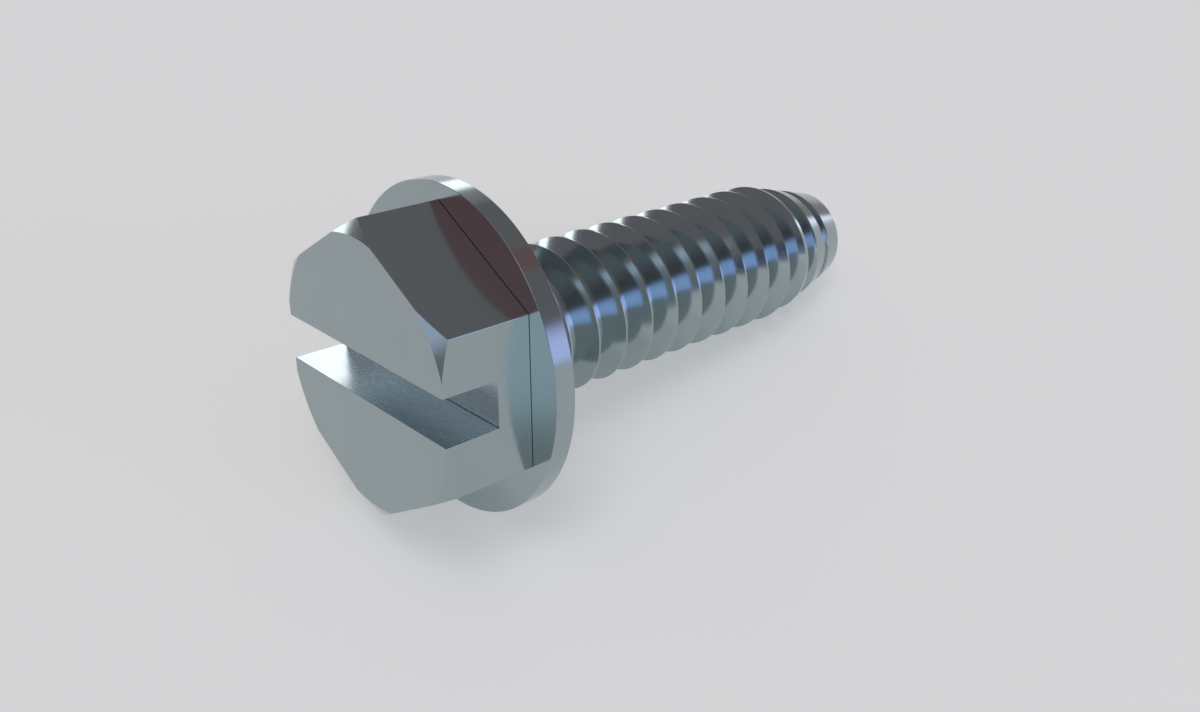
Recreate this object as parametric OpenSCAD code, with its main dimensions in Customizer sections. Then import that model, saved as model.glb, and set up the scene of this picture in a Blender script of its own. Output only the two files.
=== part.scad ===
// Slotted hex washer head machine screw with a tapered thread forming point, in one piece.
// It lies on its side: the rim of the flange and one thread crest touch the ground.
// The origin is on the screw's axis, where the shank leaves the underside of the flange.
// The axis falls towards the point in the X-Z plane, and the point is towards +X.

/* [Hex head] */
// Width of the hexagon across its flats
hex_af = 7.94; // [7.6:0.01:8.2]
// Height of the hexagon above the flange
hex_h = 2.86; // [2.5:0.01:3.4]
// Diameter of the round that the corner chamfer leaves on the top face
crown_d = 8.26; // [8.2:0.01:8.6]
// Angle of the corner chamfer to the top face
chamfer_angle = 30; // [20:1:40]

/* [Slot] */
// Width of the driver slot across the top face
slot_w = 1.4; // [1:0.05:1.8]
// Depth of the driver slot
slot_depth = 1.75; // [1:0.05:2.2]

/* [Flange] */
// Diameter of the flange that is forged in one with the head
flange_d = 10.13; // [9.8:0.01:11]
// Thickness of the flange at its rim
flange_t = 0.64; // [0.5:0.01:0.9]

/* [Thread] */
// Outside diameter over the thread crests
thread_d = 4.84; // [4.6:0.01:4.9]
// Diameter at the thread roots
root_d = 3.5; // [3.4:0.01:3.7]
// Axial distance from one crest to the next
pitch = 1.11; // [1.06:0.01:1.2]
// Angle of each flank to a plane square to the axis
flank_angle = 30; // [27:0.5:32]
// Width of the narrow land on each crest
crest_w = 0.09; // [0.08:0.01:0.16]
// Height of the square edge on each side of the land
crest_edge = 0.02; // [0.015:0.005:0.04]
// Turn of the thread about the axis, which sets where a crest meets the flange
thread_turn = 276; // [0:1:359]
// Steps in one turn of the thread
turn_steps = 36; // [24:2:40]

/* [Shank and point] */
// Length from the underside of the flange to the end of the point
shank_l = 15.88; // [12:0.01:20]
// Radius of the fillet from the thread's root out to the bearing face, in which the thread runs out
fillet_r = 0.9; // [0.8:0.05:1.2]
// Length of the tapered point
point_l = 3.1; // [2.2:0.1:3.6]
// Diameter of the flat end of the point
point_d = 3.26; // [2.9:0.01:3.35]

/* [Rest] */
// Turn of the screw about its own axis as it lies
roll_angle = 77; // [0:1:359]

/* [Hidden] */
// Facets of a full round outline
round_fn = 96;
// Steps in the fillet's curve
fillet_steps = 6;
// How far a cutting tool reaches past what it cuts
over = 1;
// How deep the thread's foot is sunk into the core, so that the two join
foot_sink = 0.06;
// How far the thread's top stands over the crests, before it is trimmed to the true outside diameter
top_excess = 0.1;
// Radii of the parts of the shank
crest_r = thread_d / 2;
root_r = root_d / 2;
edge_r = crest_r - crest_edge;
top_r = crest_r + top_excess;
foot_r = root_r - foot_sink;
// Across the corners of the hexagon
hex_ac = hex_af / cos(30);

// Half the width of the thread at a radius on its flank
function flank_half(r) = crest_w / 2 + (edge_r - r) * tan(flank_angle);

// Section of the thread as [radius, axial offset], from the head side of its foot to the point side
tooth = [
    [foot_r, -flank_half(foot_r)],
    [edge_r, -crest_w / 2],
    [top_r, -crest_w / 2],
    [top_r, crest_w / 2],
    [edge_r, crest_w / 2],
    [foot_r, flank_half(foot_r)]
];

// Where the taper of the point starts
point_start = shank_l - point_l;

// The sweep starts inside the flange and runs out past the end of the point
sweep_from = -flange_t / 2;
sweep_turns = (shank_l + pitch - sweep_from) / pitch;
sweep_steps = ceil(sweep_turns * turn_steps);

// Radius of the rolled outline at a distance from the flange
function outline_r(z) = crest_r - max(0, z - point_start) * (crest_r - point_d / 2) / point_l;

// Distance from the flange to crest k on the side that faces the ground
function ground_crest(k) = sweep_from + (k + (540 - roll_angle - thread_turn) / 360) * pitch;

// The place on crest k that reaches furthest out past a line that tapers less than the point
function crest_touch(k) = max(ground_crest(k) - crest_w / 2, min(ground_crest(k) + crest_w / 2, point_start));

// The axis falls by this angle, until the first of the crests touches the ground with the flange's rim
rest_slopes = [
    for (k = [0 : ceil(sweep_turns)]) let (z = crest_touch(k))
        if (z > pitch && z < shank_l) (flange_d / 2 - outline_r(z)) / z
];
rest_tilt = atan(min(rest_slopes));

// Point j of the thread's section at step i of the helix, right-handed towards the point
function sweep_point(i, j) = let (
        a = thread_turn + i * 360 / turn_steps,
        r = tooth[j][0],
        z = sweep_from + i * pitch / turn_steps + tooth[j][1]
    ) [r * cos(a), r * sin(a), z];

module thread_ridge() {
    m = len(tooth);
    points = [for (i = [0 : sweep_steps]) for (j = [0 : m - 1]) sweep_point(i, j)];
    sides = [
        for (i = [0 : sweep_steps - 1]) for (j = [0 : m - 1]) let (
            k = (j + 1) % m,
            a = i * m + j,
            b = i * m + k,
            c = (i + 1) * m + k,
            d = (i + 1) * m + j
        ) each [[a, b, c], [a, c, d]]
    ];
    // The section is a stack of convex strips, so each end is closed strip by strip
    ends = [
        for (j = [0 : m / 2 - 2]) let (
            strip = [j, j + 1, m - 2 - j, m - 1 - j]
        ) each [[for (k = [3 : -1 : 0]) strip[k]], [for (k = strip) sweep_steps * m + k]]
    ];
    polyhedron(points, concat(sides, ends), convexity = 20);
}

// Outline that the thread is rolled to: a cylinder over the crests, then the tapered point
module shank_outline() {
    rotate_extrude($fn = round_fn)
        polygon([
            [0, -flange_t / 2],
            [crest_r, -flange_t / 2],
            [crest_r, point_start],
            [point_d / 2, shank_l],
            [0, shank_l]
        ]);
}

module shank() {
    intersection() {
        union() {
            translate([0, 0, -flange_t / 2])
                cylinder(h = shank_l + flange_t / 2 + over, r = root_r, $fn = round_fn);
            thread_ridge();
        }
        shank_outline();
    }
}

// The bearing face starts at the fillet's outer edge, which lies outside the thread
module head_fillet() {
    curve = [
        for (i = [0 : fillet_steps]) let (a = 90 * i / fillet_steps)
            [root_r + fillet_r * (1 - sin(a)), fillet_r * (1 - cos(a))]
    ];
    rotate_extrude($fn = round_fn)
        polygon(concat([[0, -flange_t / 2], [root_r + fillet_r, -flange_t / 2]], curve, [[0, fillet_r]]));
}

module hex_head() {
    z_top = -flange_t - hex_h;
    crown_drop = (hex_ac - crown_d) / 2 * tan(chamfer_angle);
    difference() {
        intersection() {
            translate([0, 0, z_top])
                rotate(30)
                    cylinder(h = hex_h + flange_t / 2, d = hex_ac, $fn = 6);
            union() {
                translate([0, 0, z_top])
                    cylinder(h = crown_drop, d1 = crown_d, d2 = hex_ac, $fn = round_fn);
                translate([0, 0, z_top + crown_drop])
                    cylinder(h = hex_h + flange_t / 2 - crown_drop, d = hex_ac + over, $fn = round_fn);
            }
        }
        translate([-hex_af, -slot_w / 2, z_top - over])
            cube([2 * hex_af, slot_w, slot_depth + over]);
    }
}

module flange() {
    translate([0, 0, -flange_t])
        cylinder(h = flange_t, d = flange_d, $fn = round_fn);
}

module screw_upright() {
    hex_head();
    flange();
    head_fillet();
    shank();
}

module screw() {
    color("silver")
        rotate([0, 90 + rest_tilt, 0])
            rotate(180 + roll_angle)
                screw_upright();
}

screw();
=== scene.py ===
import math
import bpy
import bmesh
from mathutils import Matrix, Vector


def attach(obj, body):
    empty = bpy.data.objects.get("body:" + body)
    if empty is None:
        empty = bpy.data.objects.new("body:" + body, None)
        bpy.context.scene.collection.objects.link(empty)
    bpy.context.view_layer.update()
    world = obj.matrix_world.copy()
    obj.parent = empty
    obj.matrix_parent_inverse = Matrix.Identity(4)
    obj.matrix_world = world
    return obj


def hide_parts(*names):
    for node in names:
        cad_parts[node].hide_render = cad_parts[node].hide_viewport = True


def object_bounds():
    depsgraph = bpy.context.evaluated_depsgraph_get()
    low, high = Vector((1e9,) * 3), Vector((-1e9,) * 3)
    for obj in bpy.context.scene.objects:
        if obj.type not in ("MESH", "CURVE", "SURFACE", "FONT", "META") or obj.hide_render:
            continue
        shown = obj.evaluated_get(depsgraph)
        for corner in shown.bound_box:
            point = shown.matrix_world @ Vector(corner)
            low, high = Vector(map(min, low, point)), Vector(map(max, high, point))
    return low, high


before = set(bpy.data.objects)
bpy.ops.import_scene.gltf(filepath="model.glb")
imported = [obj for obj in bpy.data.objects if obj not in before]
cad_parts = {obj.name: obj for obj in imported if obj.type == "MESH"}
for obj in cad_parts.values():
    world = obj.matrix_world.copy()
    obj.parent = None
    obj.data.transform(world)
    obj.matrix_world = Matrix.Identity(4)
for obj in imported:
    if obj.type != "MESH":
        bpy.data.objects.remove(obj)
cad_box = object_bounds()

# The camera looks down past the slotted head along the shank, as the photograph does.
# Its place, its aim and its focal length in pixels were fitted to the edges and crest lines of the screw.
PHOTO_WIDTH_PX = 1200
FOCAL_PX = 1157.7
MILLIMETRE = 0.001
CAMERA_AT = Vector((-13.8951, -22.6338, 22.4882)) * MILLIMETRE
CAMERA_ACROSS = Vector((0.75919, -0.65084, -0.00594))
CAMERA_AHEAD = Vector((0.48649, 0.57350, -0.65911))

camera_data = bpy.data.cameras.new("camera")
camera_data.sensor_width = 36.0
camera_data.sensor_fit = "HORIZONTAL"
camera_data.lens = camera_data.sensor_width * FOCAL_PX / PHOTO_WIDTH_PX
camera_data.clip_start = 0.001
camera_data.clip_end = 20.0
camera = bpy.data.objects.new("camera", camera_data)
bpy.context.scene.collection.objects.link(camera)
camera_up = CAMERA_ACROSS.cross(CAMERA_AHEAD)
turn = Matrix((CAMERA_ACROSS, camera_up, -CAMERA_AHEAD)).transposed()
camera.matrix_world = Matrix.Translation(CAMERA_AT) @ turn.to_4x4()
bpy.context.scene.camera = camera


# The hexagon head: steel wire upset in a die, with the corners chamfered off its top and a driver slot sawn across it.
# It is modelled upright in millimetres, with the underside of the flange at zero and the point towards +Z.
# A hexagonal bar is cut by the chamfer's cone and by the saw, and then its edges are broken.
HEX_ACROSS_FLATS = 7.94
HEX_HEIGHT = 2.86
CROWN_DIAMETER = 8.26
CHAMFER_ANGLE = math.radians(30)
SLOT_WIDTH = 1.40
SLOT_DEPTH = 1.75
FLANGE_THICKNESS = 0.64
EDGE_BREAK = 0.012  # how far an outer edge is rounded off
CREASE = 0.022  # the fine crease that die and saw leave in an inner corner
SINK = 0.2  # how far the head reaches down into the flange
HEAD_TOP = -FLANGE_THICKNESS - HEX_HEIGHT
CORNERS_OVER_FLATS = 1 / math.cos(math.radians(30))
ROUND_STEPS = 360  # sides of a full round
SHARP = math.radians(60)  # an edge that turns by more than this has its edge broken
MERGE = 1e-5  # doubles nearer than this are one point


def mesh_object(name, bm):
    mesh = bpy.data.meshes.new(name)
    bm.to_mesh(mesh)
    bm.free()
    piece = bpy.data.objects.new(name, mesh)
    bpy.context.scene.collection.objects.link(piece)
    return piece


def joined(body, tool, operation):
    """The body after a boolean with the tool, as a new bmesh. Both objects are used up."""
    cut = body.modifiers.new("cut", "BOOLEAN")
    cut.operation = operation
    cut.solver = "MANIFOLD"
    cut.object = tool
    seen = body.evaluated_get(bpy.context.evaluated_depsgraph_get())
    bm = bmesh.new()
    bm.from_mesh(seen.to_mesh())
    seen.to_mesh_clear()
    for used in (body, tool):
        bpy.data.objects.remove(used)
    return bm


def pull(bm, vec):
    """Pulls the flat outline out along the vector into a closed bar, whose faces point outwards."""
    pulled = bmesh.ops.extrude_face_region(bm, geom=bm.faces[:])
    far_end = [v for v in pulled["geom"] if isinstance(v, bmesh.types.BMVert)]
    bmesh.ops.translate(bm, verts=far_end, vec=vec)
    bmesh.ops.recalc_face_normals(bm, faces=bm.faces)


def break_edges(bm, edges):
    """Rounds the edges off by the width of the edge break."""
    bmesh.ops.bevel(
        bm, geom=edges, offset=EDGE_BREAK, offset_type="OFFSET", segments=2, profile=0.5, affect="EDGES", material=-1,
    )


bm = bmesh.new()
bmesh.ops.create_circle(bm, cap_ends=True, segments=6, radius=HEX_ACROSS_FLATS / 2 * CORNERS_OVER_FLATS)
bmesh.ops.translate(bm, verts=bm.verts, vec=(0, 0, HEAD_TOP))
pull(bm, (0, 0, HEX_HEIGHT + SINK))
break_edges(bm, [e for e in bm.edges if abs(e.verts[0].co.z - e.verts[1].co.z) > HEX_HEIGHT / 2])
hex_bar = mesh_object("hex_bar", bm)

bm = bmesh.new()
cone_height = HEX_HEIGHT + 2 * SINK
bmesh.ops.create_cone(
    bm, cap_ends=True, cap_tris=False, segments=ROUND_STEPS,
    radius1=CROWN_DIAMETER / 2, radius2=CROWN_DIAMETER / 2 + cone_height / math.tan(CHAMFER_ANGLE),
    depth=cone_height,
)
bmesh.ops.translate(bm, verts=bm.verts, vec=(0, 0, HEAD_TOP + cone_height / 2))
bm = joined(hex_bar, mesh_object("chamfer_cone", bm), "INTERSECT")
hex_bar = mesh_object("hex_bar", bm)

slot_floor = HEAD_TOP + SLOT_DEPTH
half_cut = [  # half of the saw's section, with the crease in its corner
    (SLOT_WIDTH / 2, HEAD_TOP - SINK), (SLOT_WIDTH / 2, slot_floor + CREASE),
    (SLOT_WIDTH / 2 - CREASE, slot_floor + CREASE), (SLOT_WIDTH / 2 - CREASE, slot_floor),
]
bm = bmesh.new()
cut = half_cut + [(-y, z) for y, z in reversed(half_cut)]
bm.faces.new([bm.verts.new((-HEX_ACROSS_FLATS, y, z)) for y, z in cut])
pull(bm, (2 * HEX_ACROSS_FLATS, 0, 0))
bm = joined(hex_bar, mesh_object("saw", bm), "DIFFERENCE")
bmesh.ops.remove_doubles(bm, verts=bm.verts, dist=MERGE)
# Only the long edges of the slot at the top face and its ends: the chamfer's arcs stay as they are cut
break_edges(bm, [
    e for e in bm.edges
    if len(e.link_faces) == 2 and e.calc_face_angle() > SHARP and e.calc_length() > SLOT_WIDTH / 2
    and min(v.co.z for v in e.verts) < HEAD_TOP + 2 * EDGE_BREAK
])
hex_head = mesh_object("hex_head", bm)

# The flange: a round washer forged in one with the head, flat on both faces, with its rim left square by the die.
# A shallow hexagonal recess in it leaves the crease round the foot of the head.
FLANGE_DIAMETER = 10.13
bm = bmesh.new()
bmesh.ops.create_cone(
    bm, cap_ends=True, cap_tris=False, segments=ROUND_STEPS,
    radius1=FLANGE_DIAMETER / 2, radius2=FLANGE_DIAMETER / 2, depth=FLANGE_THICKNESS,
)
bmesh.ops.translate(bm, verts=bm.verts, vec=(0, 0, -FLANGE_THICKNESS / 2))
break_edges(bm, [e for e in bm.edges if e.calc_face_angle() > SHARP])
flange = mesh_object("flange", bm)
bm = bmesh.new()
bmesh.ops.create_circle(bm, cap_ends=True, segments=6, radius=(HEX_ACROSS_FLATS / 2 + CREASE) * CORNERS_OVER_FLATS)
bmesh.ops.translate(bm, verts=bm.verts, vec=(0, 0, CREASE - FLANGE_THICKNESS))
pull(bm, (0, 0, -1))
bm = joined(flange, mesh_object("foot", bm), "DIFFERENCE")
bm = joined(hex_head, mesh_object("flange", bm), "UNION")
head = mesh_object("head", bm)

# The fillet under the head: the hollow curve that the die leaves between the bearing face and the shank.
# The thread runs out in it. Its profile is spun full round.
FILLET_RADIUS = 0.9
ROOT_RADIUS = 1.75
FILLET_STEPS = 12
arc = [math.pi / 2 * i / FILLET_STEPS for i in range(FILLET_STEPS + 1)]
profile = [(ROOT_RADIUS + FILLET_RADIUS * (1 - math.sin(a)), FILLET_RADIUS * (1 - math.cos(a))) for a in arc]
profile = [(0, -SINK), (ROOT_RADIUS + FILLET_RADIUS, -SINK)] + profile + [(0, FILLET_RADIUS)]
bm = bmesh.new()
verts = [bm.verts.new((r, 0, z)) for r, z in profile]
for a, b in zip(verts, verts[1:]):
    bm.edges.new((a, b))
bmesh.ops.spin(
    bm, geom=bm.verts[:] + bm.edges[:], cent=(0, 0, 0), axis=(0, 0, 1), dvec=(0, 0, 0),
    angle=2 * math.pi, steps=ROUND_STEPS // 2, use_merge=True, use_duplicate=False,
)
bmesh.ops.remove_doubles(bm, verts=bm.verts, dist=MERGE)
bmesh.ops.recalc_face_normals(bm, faces=bm.faces)
bm = joined(head, mesh_object("fillet", bm), "UNION")
head = mesh_object("head", bm)

# The thread: rolled between flat dies, which press a right-hand V groove with a narrow flat root into the shank
# and raise its crests to thin lands. One pitch of its section is spun round the axis as a helix.
# The point is a taper on the blank, so the crests there end as flat lands that widen towards the end.
# The sweep starts one pitch inside the flange and runs past the point, and is cut off square at both ends.
PITCH = 1.11
CREST_RADIUS = 2.42
CREST_LAND = 0.06
HALF_THREAD_ANGLE = math.radians(30)
THREAD_TURN = math.radians(276)
SHANK_LENGTH = 15.88
POINT_LENGTH = 3.10
POINT_RADIUS = 1.63
TURN_STEPS = 120
FLANK_STEPS = 3
THREAD_MERGE = 1e-4  # the turns meet within this
NEAR_CUT = 1e-3  # how far from a cut its own points may lie
flank_run = (CREST_RADIUS - ROOT_RADIUS) * math.tan(HALF_THREAD_ANGLE)
half = [(CREST_RADIUS, 0)] + [
    (CREST_RADIUS + (ROOT_RADIUS - CREST_RADIUS) * i / FLANK_STEPS, CREST_LAND / 2 + flank_run * i / FLANK_STEPS)
    for i in range(FLANK_STEPS + 1)
] + [(ROOT_RADIUS, PITCH / 2)]
section = [(r, -z) for r, z in reversed(half)] + half[1:]
first_crest = -FLANGE_THICKNESS / 2 - PITCH
turns = math.ceil((SHANK_LENGTH - first_crest) / PITCH) + 2
bm = bmesh.new()
verts = [bm.verts.new((r, 0, first_crest + z)) for r, z in section]
for a, b in zip(verts, verts[1:]):
    bm.edges.new((a, b))
bmesh.ops.rotate(bm, verts=bm.verts, cent=(0, 0, 0), matrix=Matrix.Rotation(THREAD_TURN, 3, "Z"))
bmesh.ops.spin(
    bm, geom=bm.verts[:] + bm.edges[:], cent=(0, 0, 0), axis=(0, 0, 1), dvec=(0, 0, PITCH / TURN_STEPS),
    angle=2 * math.pi, steps=TURN_STEPS, use_merge=False, use_duplicate=False,
)
one_turn = bm.verts[:] + bm.edges[:] + bm.faces[:]
for i in range(1, turns):
    copy = bmesh.ops.duplicate(bm, geom=one_turn)["geom"]
    bmesh.ops.translate(bm, verts=[v for v in copy if isinstance(v, bmesh.types.BMVert)], vec=(0, 0, i * PITCH))
bmesh.ops.remove_doubles(bm, verts=bm.verts, dist=THREAD_MERGE)
for height, upward in ((-FLANGE_THICKNESS / 2, -1), (SHANK_LENGTH + PITCH / 2, 1)):
    bmesh.ops.bisect_plane(
        bm, geom=bm.verts[:] + bm.edges[:] + bm.faces[:], dist=MERGE / 10, plane_co=(0, 0, height),
        plane_no=(0, 0, upward), clear_outer=True, clear_inner=False,
    )
    outline = [e for e in bm.edges if e.is_boundary and all(abs(v.co.z - height) < NEAR_CUT for v in e.verts)]
    bmesh.ops.holes_fill(bm, edges=outline, sides=0)
bmesh.ops.recalc_face_normals(bm, faces=bm.faces)
shank = mesh_object("shank", bm)

bm = bmesh.new()
taper = (CREST_RADIUS - POINT_RADIUS) / POINT_LENGTH
blank_length = SHANK_LENGTH + FLANGE_THICKNESS
bmesh.ops.create_cone(
    bm, cap_ends=True, cap_tris=False, segments=ROUND_STEPS,
    radius1=POINT_RADIUS + taper * blank_length, radius2=POINT_RADIUS, depth=blank_length,
)
bmesh.ops.translate(bm, verts=bm.verts, vec=(0, 0, SHANK_LENGTH - blank_length / 2))
break_edges(bm, [e for e in bm.edges if all(v.co.z > SHANK_LENGTH - NEAR_CUT for v in e.verts)])
bm = joined(shank, mesh_object("blank", bm), "INTERSECT")
shank = mesh_object("shank", bm)

# The whole screw is one solid. It lies on its side on the rim of its flange and one crest of the thread,
# as in the imported frame, so it is turned about its own axis and then laid down.
# The walls and the floor of the slot take the second material, whose paler colour is painted light.
REST_TILT = math.radians(11.839)
ROLL = math.radians(180 + 77)
SMOOTH = math.radians(10)  # faces that meet at less than this are shaded as one curve
FLAT_ALONG = 0.99  # a face this square to a direction counts as facing it
bm = joined(head, shank, "UNION")
bmesh.ops.remove_doubles(bm, verts=bm.verts, dist=MERGE)
for face in bm.faces:
    middle = face.calc_center_median()
    on_wall = abs(face.normal.y) > FLAT_ALONG and abs(abs(middle.y) - SLOT_WIDTH / 2) < NEAR_CUT
    on_floor = face.normal.z < -FLAT_ALONG and abs(middle.z - slot_floor) < NEAR_CUT
    face.material_index = int((on_wall or on_floor) and middle.z < slot_floor + NEAR_CUT)
lay_down = Matrix.Rotation(math.pi / 2 + REST_TILT, 3, "Y") @ Matrix.Rotation(ROLL, 3, "Z")
bmesh.ops.rotate(bm, verts=bm.verts, cent=(0, 0, 0), matrix=lay_down)
bmesh.ops.scale(bm, verts=bm.verts, vec=(MILLIMETRE, MILLIMETRE, MILLIMETRE))
for face in bm.faces:
    face.smooth = True
for edge in bm.edges:
    edge.smooth = len(edge.link_faces) == 2 and edge.calc_face_angle() < SMOOTH
screw = mesh_object("screw_body", bm)


# The finish: zinc electroplated on steel, with a clear blue-white passivation that leaves it bright and slightly cool.
# The plating is smooth, so it mirrors what is near it, and only a faint unevenness of the bath softens it.
def linear(code):
    """A colour written as sRGB hex, turned to linear."""
    parts = [int(code[i:i + 2], 16) / 255 for i in (0, 2, 4)]
    return tuple(p / 12.92 if p <= 0.04045 else ((p + 0.055) / 1.055) ** 2.4 for p in parts) + (1.0,)


def add_node(tree, kind, settings=None, inputs=None):
    """Adds one node with its settings. An input is a value, or another node's output socket."""
    node = tree.nodes.new(kind)
    for name, value in (settings or {}).items():
        setattr(node, name, value)
    for key, value in (inputs or {}).items():
        if isinstance(value, bpy.types.NodeSocket):
            tree.links.new(value, node.inputs[key])
        else:
            node.inputs[key].default_value = value
    return node


zinc = bpy.data.materials.new("bright_zinc_plated_steel")
zinc.use_nodes = True
tree = zinc.node_tree
shader = tree.nodes["Principled BSDF"]
shader.inputs["Metallic"].default_value = 1.0
place = add_node(tree, "ShaderNodeTexCoord")
CLOUD = 1.6 * MILLIMETRE  # clouds in the colour of the plating
GRAIN = 0.12 * MILLIMETRE  # unevenness of the plated surface
clouds = add_node(
    tree, "ShaderNodeTexNoise",
    inputs={"Vector": place.outputs["Object"], "Scale": 1 / CLOUD, "Detail": 3.0, "Roughness": 0.55},
)
tint = add_node(
    tree, "ShaderNodeMix", {"data_type": "RGBA"},
    {0: clouds.outputs["Fac"], 6: linear("9fadb0"), 7: linear("a6b3b5")},
)
grain = add_node(
    tree, "ShaderNodeTexNoise",
    inputs={"Vector": place.outputs["Object"], "Scale": 1 / GRAIN, "Detail": 2.0, "Roughness": 0.6},
)
dullness = add_node(
    tree, "ShaderNodeMapRange",
    inputs={"Value": grain.outputs["Fac"], "From Min": 0.3, "From Max": 0.7, "To Min": 0.12, "To Max": 0.18},
)
tree.links.new(tint.outputs[2], shader.inputs["Base Color"])
tree.links.new(dullness.outputs["Result"], shader.inputs["Roughness"])

# The finish in the slot: sawn before plating, so the zinc there is satin, with faint marks along the cut; its paler
# colour is painted light, which lifts the shade deep in the slot.
# Real saw marks are finer, and they are drawn as coarse as they need to be to show.
SAW_MARK_LENGTH = 3 * MILLIMETRE
SAW_MARK_WIDTH = 0.06 * MILLIMETRE
slot_zinc_painted_lighter = bpy.data.materials.new("sawn_zinc_painted_lighter")
slot_zinc_painted_lighter.use_nodes = True
tree = slot_zinc_painted_lighter.node_tree
shader = tree.nodes["Principled BSDF"]
shader.inputs["Metallic"].default_value = 1.0
# The paler base colour is painted light: it brightens the slot's walls and floor, which lie in shade.
shader.inputs["Base Color"].default_value = linear("cbd8de")
place = add_node(tree, "ShaderNodeTexCoord")
along = add_node(
    tree, "ShaderNodeMapping", {"vector_type": "TEXTURE"},
    {
        "Vector": place.outputs["Object"], "Rotation": lay_down.to_euler(),
        "Scale": (SAW_MARK_LENGTH, SAW_MARK_WIDTH, SAW_MARK_WIDTH),
    },
)
marks = add_node(tree, "ShaderNodeTexNoise", inputs={"Vector": along.outputs["Vector"], "Scale": 1.0, "Detail": 2.0})
dullness = add_node(
    tree, "ShaderNodeMapRange",
    inputs={"Value": marks.outputs["Fac"], "From Min": 0.3, "From Max": 0.7, "To Min": 0.26, "To Max": 0.29},
)
tree.links.new(dullness.outputs["Result"], shader.inputs["Roughness"])
screw.data.materials.append(zinc)
screw.data.materials.append(slot_zinc_painted_lighter)
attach(screw, "root")
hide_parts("screw")

# The studio: a pale matt table top under the screw, with one large soft lamp above it.
# A small card of light stands low beside the camera.
FLOOR_HALF = 1.5  # half the table's width, in metres as all sizes of the studio
floor_height = cad_box[0][2]
bm = bmesh.new()
bmesh.ops.create_grid(bm, x_segments=1, y_segments=1, size=FLOOR_HALF)
bmesh.ops.translate(bm, verts=bm.verts, vec=(0, 0, floor_height))
floor = mesh_object("floor", bm)
paper = bpy.data.materials.new("matt_white_paper")
paper.use_nodes = True
paper_shader = paper.node_tree.nodes["Principled BSDF"]
paper_shader.inputs["Base Color"].default_value = linear("ebebeb")
paper_shader.inputs["Roughness"].default_value = 1.0
paper_shader.inputs["Specular IOR Level"].default_value = 0.0
PAPER_GLOW = 0.33  # makes the table paler to the eye and as the metal mirrors it, beyond what the lamp gives it
ray_kind = add_node(paper.node_tree, "ShaderNodeLightPath")
seen = ray_kind.outputs["Is Camera Ray"]
for kind in ("Is Glossy Ray", "Is Transmission Ray"):
    seen = add_node(
        paper.node_tree, "ShaderNodeMath", {"operation": "MAXIMUM"}, {0: seen, 1: ray_kind.outputs[kind]}
    ).outputs["Value"]
glow_strength = add_node(paper.node_tree, "ShaderNodeMath", {"operation": "MULTIPLY"}, {0: seen, 1: PAPER_GLOW})
paper.node_tree.links.new(glow_strength.outputs["Value"], paper_shader.inputs["Emission Strength"])
paper_shader.inputs["Emission Color"].default_value = (0.96, 1.0, 0.96, 1.0)
floor.data.materials.append(paper)


def soft_lamp(name, at, aim, width, height, power, colour):
    lamp_data = bpy.data.lights.new(name, "AREA")
    lamp_data.shape = "RECTANGLE"
    lamp_data.size = width
    lamp_data.size_y = height
    lamp_data.energy = power
    lamp_data.color = colour
    lamp = bpy.data.objects.new(name, lamp_data)
    lamp.location = at
    lamp.rotation_euler = (Vector(aim) - Vector(at)).to_track_quat("-Z", "Y").to_euler()
    bpy.context.scene.collection.objects.link(lamp)
    return lamp


soft_lamp(
    "overhead_softbox", at=(-0.075, -0.065, 0.300), aim=(0.005, 0.0, floor_height),
    width=0.13, height=0.13, power=0.11, colour=(1.0, 1.0, 0.98),
)
# The card shows only as a reflection in the metal, and throws no light on the table.
low_card = soft_lamp(
    "low_card", at=(-0.0190, -0.0260, 0.0010), aim=(-0.001, -0.004, 0.0),
    width=0.016, height=0.011, power=0.00044, colour=(0.92, 1.0, 1.12),
)
low_card.visible_diffuse = False

# The studio's walls and ceiling, as the plating mirrors them: grey all round and paler overhead, with bright cards
# beyond the point, cool windows low on the near and far sides, and dim or warm places where a colour is below zero.
# The patches were set so that the bands on the metal fall as in the photograph.
world = bpy.data.worlds.new("studio")
bpy.context.scene.world = world
world.use_nodes = True
sky = world.node_tree
sky.nodes.clear()


def direction(azimuth, elevation):
    a, e = math.radians(azimuth), math.radians(elevation)
    return (math.cos(e) * math.cos(a), math.cos(e) * math.sin(a), math.sin(e))


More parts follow.
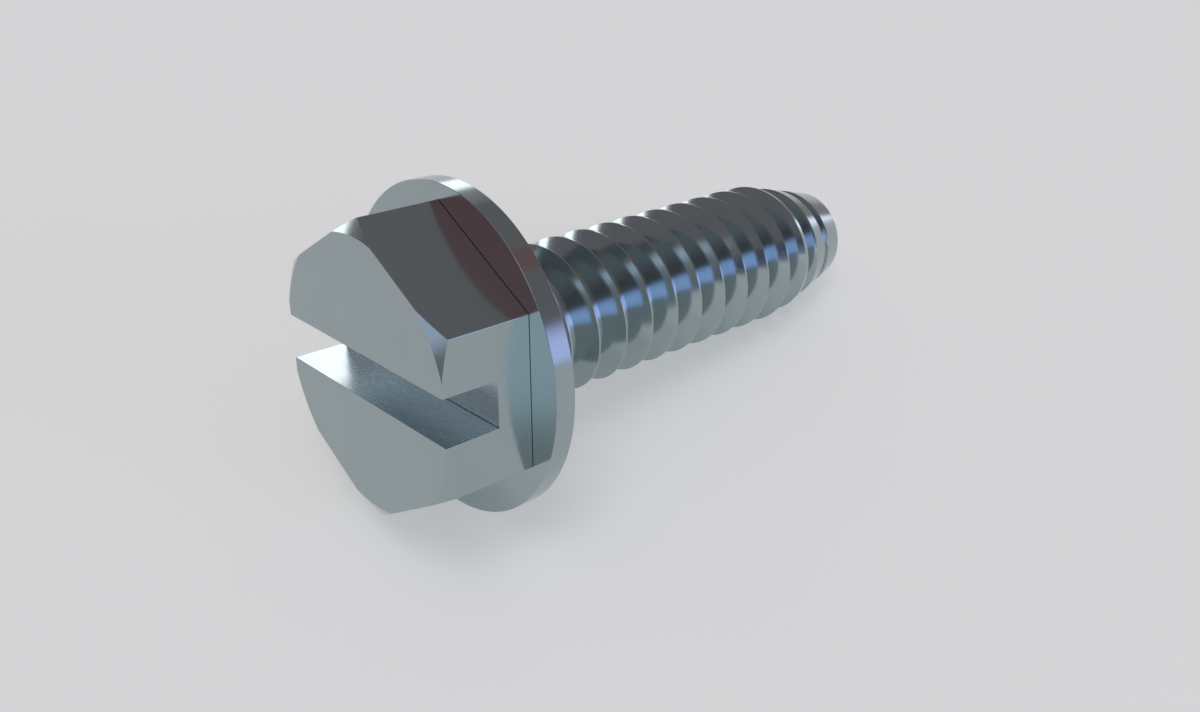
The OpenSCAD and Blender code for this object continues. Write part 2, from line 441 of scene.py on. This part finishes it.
ray = add_node(sky, "ShaderNodeTexCoord").outputs["Generated"]
rise = add_node(sky, "ShaderNodeSeparateXYZ", inputs={"Vector": ray}).outputs["Z"]
wall = add_node(sky, "ShaderNodeValToRGB", inputs={"Fac": rise})
ramp = wall.color_ramp
ramp.interpolation = "EASE"
stops = [
    (0.0, (0.34, 0.34, 0.36)), (0.17, (0.26, 0.25, 0.27)), (0.34, (0.22, 0.19, 0.21)), (0.57, (0.22, 0.20, 0.21)),
    (0.71, (0.22, 0.20, 0.20)), (0.82, (0.32, 0.28, 0.32)), (0.94, (0.42, 0.42, 0.44)), (1.0, (0.45, 0.45, 0.45)),
]
while len(ramp.elements) < len(stops):
    ramp.elements.new(0.5)
for element, (at, colour) in zip(ramp.elements, stops):
    element.position = at
    element.color = colour + (1.0,)
glow = wall.outputs["Color"]
# Each patch is azimuth, elevation, the angle where it fades out and the angle where it is full, in degrees, and colour
PATCHES = [
    (-47, 7, 15, 5, (0.55, 0.62, 1.15)),
    (-69, 15, 19, 7, (0.9, 1.2, 2.2)),
    (170, 16, 12, 7, (0.45, 0.55, 0.75)),
    (-160, 3, 16, 9, (-0.17, -0.15, -0.10)),
    (58, 3, 14, 10, (1.9, 1.9, 1.9)),
    (50, 18, 14, 6, (0.15, 0.15, 0.15)),
    (109, 2, 10, 6, (2.6, 2.6, 2.5)),
    (-8, 3, 12, 7, (1.5, 1.5, 1.8)),
    (-8, 41, 9, 4, (0.05, -0.06, -0.06)),
    (142, 60, 16, 10, (0.10, -0.12, -0.14)),
]
for azimuth, elevation, fade, full, colour in PATCHES:
    facing = add_node(
        sky, "ShaderNodeVectorMath", {"operation": "DOT_PRODUCT"}, {0: ray, 1: direction(azimuth, elevation)}
    )
    patch = add_node(
        sky, "ShaderNodeMapRange", {"interpolation_type": "SMOOTHSTEP"},
        {
            "Value": facing.outputs["Value"],
            "From Min": math.cos(math.radians(fade)), "From Max": math.cos(math.radians(full)),
        },
    )
    tinted = add_node(
        sky, "ShaderNodeVectorMath", {"operation": "SCALE"}, {0: colour, "Scale": patch.outputs["Result"]}
    )
    added = add_node(sky, "ShaderNodeVectorMath", {"operation": "ADD"}, {0: glow, 1: tinted.outputs["Vector"]})
    glow = added.outputs["Vector"]
light = add_node(sky, "ShaderNodeBackground", inputs={"Color": glow, "Strength": 1.0})
add_node(sky, "ShaderNodeOutputWorld", inputs={"Surface": light.outputs["Background"]})

bpy.context.scene.view_settings.view_transform = "Standard"
